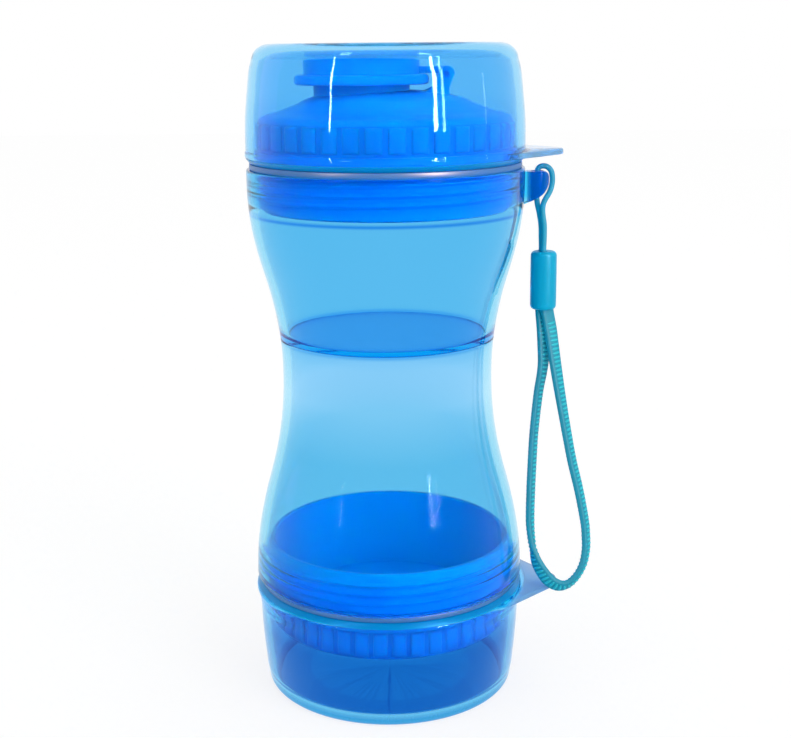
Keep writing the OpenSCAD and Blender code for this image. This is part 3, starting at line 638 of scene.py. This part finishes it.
# Flip lid
# A shallow round cup that snaps over the spout, moulded in the same blue with a rim for the thumb,
# an arm and the knuckle of its hinge. It holds the soft plug that seals the spout.
lid_rings = [(0, 210.8), (15.6, 210.8), (16, 210.5), (16, 203.1), (16.2, 203.0), (20.9, 203.0), (21.45, 203.3),
             (21.65, 203.9), (21.65, 205.1), (21.4, 205.7), (20.9, 206.0), (19.2, 206.05), (18.85, 206.2), (18.7, 206.6),
             (18.7, 211.3), (18.5, 212.2), (18.0, 212.8), (17.2, 213.15), (16.3, 213.2), (0, 213.2)]
flip_lid = turned("flip_lid_shell", lid_rings, np.linspace(0, 2 * math.pi, 128, endpoint=False), cap_blue, middle=(-7.5, 0))
cut(flip_lid, block("arm", (10.4, -4, 206.3), (19.4, 4, 208.5), cap_blue), "UNION")


def bar_y(name, x, z, radius, half, finish):
    """A round bar along Y about (x, z), with slightly rounded ends."""
    turns = np.linspace(0, 2 * math.pi, 40, endpoint=False)
    ends = [(0, -half), (radius - 0.25, -half), (radius, -half + 0.25), (radius, half - 0.25), (radius - 0.25, half), (0, half)]
    made = turned(name, ends, turns, finish)
    made.data.transform(Matrix.Translation((x / 1000, 0, z / 1000)) @ Matrix.Rotation(math.pi / 2, 4, "X"))
    return made


cut(flip_lid, bar_y("knuckle", 19.4, 206.1, 2.6, 5.6, cap_blue), "UNION")
cut(flip_lid, bar_y("pin_hole", 19.4, 206.1, 1.06, 9, cap_blue), "DIFFERENCE")
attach(flip_lid, "flap")
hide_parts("flip_lid")

# Spout seal
# The soft silicone plug under the lid: a disc on the spout's lip with a cone that enters the bore.
# Its CAD shape is right, so it keeps it and takes the silicone.
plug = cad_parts["spout_seal"]
plug.data.materials.clear()
plug.data.materials.append(silicone)

# Hinge pin
# A plain round pin, 2 mm thick, pressed through both ears, in the cap's blue. It is a turned round,
# so it keeps its CAD shape.
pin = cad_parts["lid_pin"]
pin.data.materials.clear()
pin.data.materials.append(cap_blue)

# Upper bowl
# A clear bowl pushed upside down over the water cap, so the spout stays clean. Its rim has a narrow
# flange that grows into a tab with a round tip on the right for the finger that pulls it off.
def tab_edge(azimuths, turn):
    """Radius of the rim's outline: the flange's circle, or the tab's straight sides and round tip."""
    off = (azimuths - turn + math.pi) % (2 * math.pi) - math.pi
    centre, tip, flange = 50.8, 7.0, 45.6
    u = (flange - tip) / centre
    v = math.sqrt(1 - u * u)
    side = flange / (u * np.cos(off) + v * np.abs(np.sin(off)))
    end = centre * np.cos(off) + np.sqrt(np.maximum(tip ** 2 - (centre * np.sin(off)) ** 2, 0))
    first = math.atan2(tip * v, centre + tip * u)
    return np.where(np.abs(off) <= first, end, np.where(np.abs(off) < math.acos(u), side, flange))


def rim_azimuths(turn):
    """Azimuths that are closer together at the tab's tip and meet its corners."""
    extra = [turn + s * math.radians(d) for s in (-1, 1) for d in (0.8, 1.6, 2.4, 3.2, 4.0, 4.63, 5.6, 7, 40.5)]
    every = np.concatenate([np.linspace(0, 2 * math.pi, 180, endpoint=False), np.mod(extra + [turn], 2 * math.pi)])
    every = np.sort(every)
    return every[np.concatenate([[True], np.diff(every) > 0.003])]


def rim_flange(edge, wall, top, low, foot):
    """Rings of the flange and tab between two heights, from the wall out to the edge and back."""
    out = edge - wall
    rows = [(wall, top + 0.9 * foot), (wall + np.minimum(0.06 * out, 0.25), top + 0.35 * foot),
            (wall + np.minimum(0.2 * out, 0.9), top)]
    rows += [(edge - 0.5 * np.minimum(out, 1), top), (edge - 0.15 * np.minimum(out, 1), top - 0.15 * foot),
             (edge, top - 0.5 * foot), (edge, low + 0.5 * foot), (edge - 0.15, low + 0.15 * foot), (edge - 0.5, low)]
    return rows


# Beyond the round wall the tab is a pale, partly opaque blue: a painted reflection of the white surroundings on its
# upper face. The tint lightens towards the bowl's top.
bowl_blue_painted_reflection = clear_plastic("clear_blue_polycarbonate_bowl_painted_reflection", [(0.178, "#80CCFA", 0.02), (0.2, "#9FD8FB", 0.02)],
                          40.0, 0.09, "#A0D8FF")
around = rim_azimuths(0.0)
edge = tab_edge(around, 0.0)
top_wall = [(183.2, 45.3), (185.5, 45.3), (188.7, 45.24), (191.9, 45.13), (195, 44.93), (198.2, 44.64), (201.3, 44.32),
            (204.4, 43.98), (207.6, 43.58), (209.6, 43.2)]
walls = np.arange(183.2, 209.7, 1.0)
wall_r = smooth_curve(top_wall, walls)
corner = [(36.4 + 6.4 * math.sin(a) ** 0.9, 209.8 + 6.2 * math.cos(a) ** 0.9) for a in np.linspace(0, math.pi / 2 - 0.12, 12)]
rings = [(0, 216), (12, 216), (24, 216), (32, 216)] + corner + [(r, z) for z, r in zip(walls[::-1], wall_r[::-1])]
rings += rim_flange(edge, 45.3, 182.2, 180.3, 1)
rings += [(43.2, 180.3), (42.9, 180.4), (42.8, 180.7)]
rings += [(r - 2.6 + 0.1 * (z < 186), z) for z, r in zip(walls, wall_r)]
inner = [(35.2 + 5.3 * math.sin(a) ** 0.9, 208.9 + 5.1 * math.cos(a) ** 0.9) for a in np.linspace(math.pi / 2 - 0.12, 0, 12)]
rings += inner + [(30, 214), (20, 214), (10, 214), (0, 214)]
water_bowl = turned("water_bowl_shell", rings, around, bowl_blue_painted_reflection)
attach(water_bowl, "upper_bowl")
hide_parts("water_bowl")

# Food cap
# The same moulding the other way up, closed by a flat disc instead of the dome: it screws into the
# lower mouth and keeps the dry food in. Skirt, flange, land and ribs are those of the water cap.
skirt = [(41.1 + 0.9 * thread_height(-circle % (2 * math.pi), z, 166.2125, 3), z) for z in np.arange(164.6, 178.0, 0.16)]
disc = [(39.3, 192.4), (38.9, 193.0), (38.2, 193.35), (37.2, 193.4), (36.2, 193.35), (35.6, 193.1), (35.2, 192.75),
        (34.6, 192.6), (20, 192.6), (0, 192.6), (0, 190.4), (20, 190.4), (36.2, 190.4), (37.1, 190.1), (37.4, 189.5),
        (37.5, 182), (38.9, 179.3)]
food_cap = closed_cap("food_cap_shell", disc, skirt, 39.5, 191.8, cap_blue)
paint_groove_shade(food_cap, 39.5, 183.3, 191.6)
food_cap.data.transform(Matrix.Translation((0, 0, 0.2155)) @ Matrix.Scale(-1, 4, (0, 0, 1)))
food_cap.data.flip_normals()
food_grip = grown("food_cap_grip", one_rib(8.4, 2.3), grip, [(grip_count, 42), (grip_radius, 0.03965), (grip_height, 0.0278)])
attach(food_cap, "food_lid")
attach(food_grip, "food_lid")
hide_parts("food_cap")

# Lower bowl
# The food bowl, the right way up under the food cap, is also the bottle's foot. It has the same
# flange and tab and a flat base with a tight corner. Its tint is painted shade, deep blue in the base and lighter up
# the wall.
# Painted shade: the tint is deep blue in the base and lightens up the wall; beyond the wall the tab is a pale painted
# reflection.
foot_blue_painted_light = clear_plastic("clear_blue_polycarbonate_foot_painted_light", [(0.003, "#1474C4", 0.02), (0.0044, "#5CB0E8", 0.02),
                                                              (0.022, "#54ACE6", 0.02), (0.028, "#7CCCFA", 0.02)],
                          60.0, 0.06, "#98D0FF")
around = rim_azimuths(math.radians(-4))
edge = tab_edge(around, math.radians(-4))
low_wall = [(2.8, 42.3), (6.4, 42.87), (9.9, 43.22), (13.6, 43.6), (17.1, 43.88), (20.6, 44.12), (24.3, 44.3),
            (29, 44.55), (32.4, 44.9)]
walls = np.arange(2.8, 32.5, 0.99)
wall_r = smooth_curve(low_wall, walls)
rings = [(0, 0), (14, 0), (28, 0), (39.2, 0)]
rings += [(39.7 + 2.5 * math.sin(a), 2.5 - 2.5 * math.cos(a)) for a in np.linspace(0.1, math.pi / 2 - 0.1, 8)]
rings += [(r, z) for z, r in zip(walls, wall_r)]

flange_rows = rim_flange(edge, 44.95, 33.3, 35.2, -1)
rings += flange_rows
rings += [(43.2, 35.2), (42.9, 35.1), (42.8, 34.8), (42.8, 32.0), (42.6, 30.5)]
rings += [(r - 2.6, z) for z, r in zip(walls[::-1], wall_r[::-1]) if 6.3 < z < 29.5]
rings += [(36.9 + 3.3 * math.sin(a), 5.9 - 3.3 * math.cos(a)) for a in np.linspace(math.pi / 2 - 0.1, 0.1, 8)]
rings += [(28, 2.6), (14, 2.6), (0, 2.6)]
food_bowl = turned("food_bowl_shell", rings, around, foot_blue_painted_light)
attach(food_bowl, "lower_bowl")
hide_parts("food_bowl")

# Floor and light
# A plain white sweep under soft daylight, with narrow strip lights at both sides, whose images run
# down the clear walls as the fine streaks of the photograph.
paper, nodes = blank_material("white_paper")
ways = put(nodes, "ShaderNodeLightPath")
seen = put(nodes, "ShaderNodeMath", {0: ways.outputs["Is Camera Ray"], 1: ways.outputs["Is Glossy Ray"]},
           operation="MAXIMUM")
seen = put(nodes, "ShaderNodeMath", {0: seen.outputs[0], 1: ways.outputs["Is Transmission Ray"]}, operation="MAXIMUM")
matt = put(nodes, "ShaderNodeBsdfDiffuse", {"Color": (0.3, 0.3, 0.3, 1)})
glow = put(nodes, "ShaderNodeEmission", {"Color": (1, 1, 1, 1), "Strength": 0.78})
shown = put(nodes, "ShaderNodeAddShader", {0: matt.outputs[0], 1: glow.outputs[0]})
plain = put(nodes, "ShaderNodeBsdfDiffuse", {"Color": (0.85, 0.85, 0.85, 1)})
both = put(nodes, "ShaderNodeMixShader", {0: seen.outputs[0], 1: plain.outputs[0], 2: shown.outputs[0]})
put(nodes, "ShaderNodeOutputMaterial", {"Surface": both.outputs[0]})
sweep = mesh_piece("floor", [(-3000, -3000, 0), (3000, -3000, 0), (3000, 3000, 0), (-3000, 3000, 0)], [(0, 1, 2, 3)], paper)

world = bpy.data.worlds.new("white_room")
scene.world = world
world.use_nodes = True
nodes = world.node_tree
nodes.nodes.clear()
ways = put(nodes, "ShaderNodeLightPath")
seen = put(nodes, "ShaderNodeMath", {0: ways.outputs["Is Camera Ray"], 1: ways.outputs["Is Glossy Ray"]},
           operation="MAXIMUM")
seen = put(nodes, "ShaderNodeMath", {0: seen.outputs[0], 1: ways.outputs["Is Transmission Ray"]}, operation="MAXIMUM")
soft = put(nodes, "ShaderNodeBackground", {"Color": (1, 1, 1, 1), "Strength": 0.7})
white = put(nodes, "ShaderNodeBackground", {"Color": (1, 1, 1, 1), "Strength": 1.0})
both = put(nodes, "ShaderNodeMixShader", {0: seen.outputs[0], 1: soft.outputs[0], 2: white.outputs[0]})
put(nodes, "ShaderNodeOutputWorld", {"Surface": both.outputs[0]})


def strip(name, azimuth, distance, low, high, wide, glow, tint="#FFFFFF"):
    """An upright strip light that only shows as a reflection; azimuth 0 is the camera's side."""
    lamp = bpy.data.lights.new(name, "AREA")
    lamp.shape, lamp.size, lamp.size_y, lamp.color = "RECTANGLE", wide, high - low, srgb(tint)[:3]
    lamp.energy = glow * math.pi * wide * (high - low)
    held = bpy.data.objects.new(name, lamp)
    a = math.radians(azimuth)
    held.location = (distance * math.sin(a), -distance * math.cos(a), (low + high) / 2)
    held.rotation_euler = (math.pi / 2, 0, a)
    held.visible_diffuse = held.visible_transmission = False
    scene.collection.objects.link(held)
    return held


key = bpy.data.lights.new("key", "AREA")
key.size, key.energy = 0.9, 6
window = bpy.data.objects.new("key", key)
window.location = (1.1, -1.2, 1.2)
window.rotation_euler = (Vector((0, 0, 0.11)) - window.location).to_track_quat("-Z", "Y").to_euler()
window.visible_glossy = False
scene.collection.objects.link(window)
strip("strip_left", -44, 1.5, 0.2, 1.1, 0.028, 400, "#FFD8C4")
strip("strip_right", 40, 1.5, 0.2, 1.1, 0.085, 460, "#FFD8C4")
strip("strip_right_far", 47, 1.5, 0.2, 1.1, 0.06, 120, "#FFE4D6")
strip("glint_left", -41, 1.5, 1.5, 2.4, 0.3, 60, "#FFE4D6")
strip("glint_right", 41, 1.5, 1.5, 2.4, 0.3, 60, "#FFE4D6")
strip("strip_side", 87, 1.5, 0.2, 0.5, 0.03, 14)
strip("strip_rose", -110, 1.5, -0.4, 1.3, 0.7, 0.9, "#E08CFF")

# The walls lie seven deep in places, so a ray may pass more surfaces than usual
scene.cycles.max_bounces = 32
scene.cycles.transmission_bounces = 32
scene.cycles.glossy_bounces = 32
scene.view_settings.view_transform = "Standard"
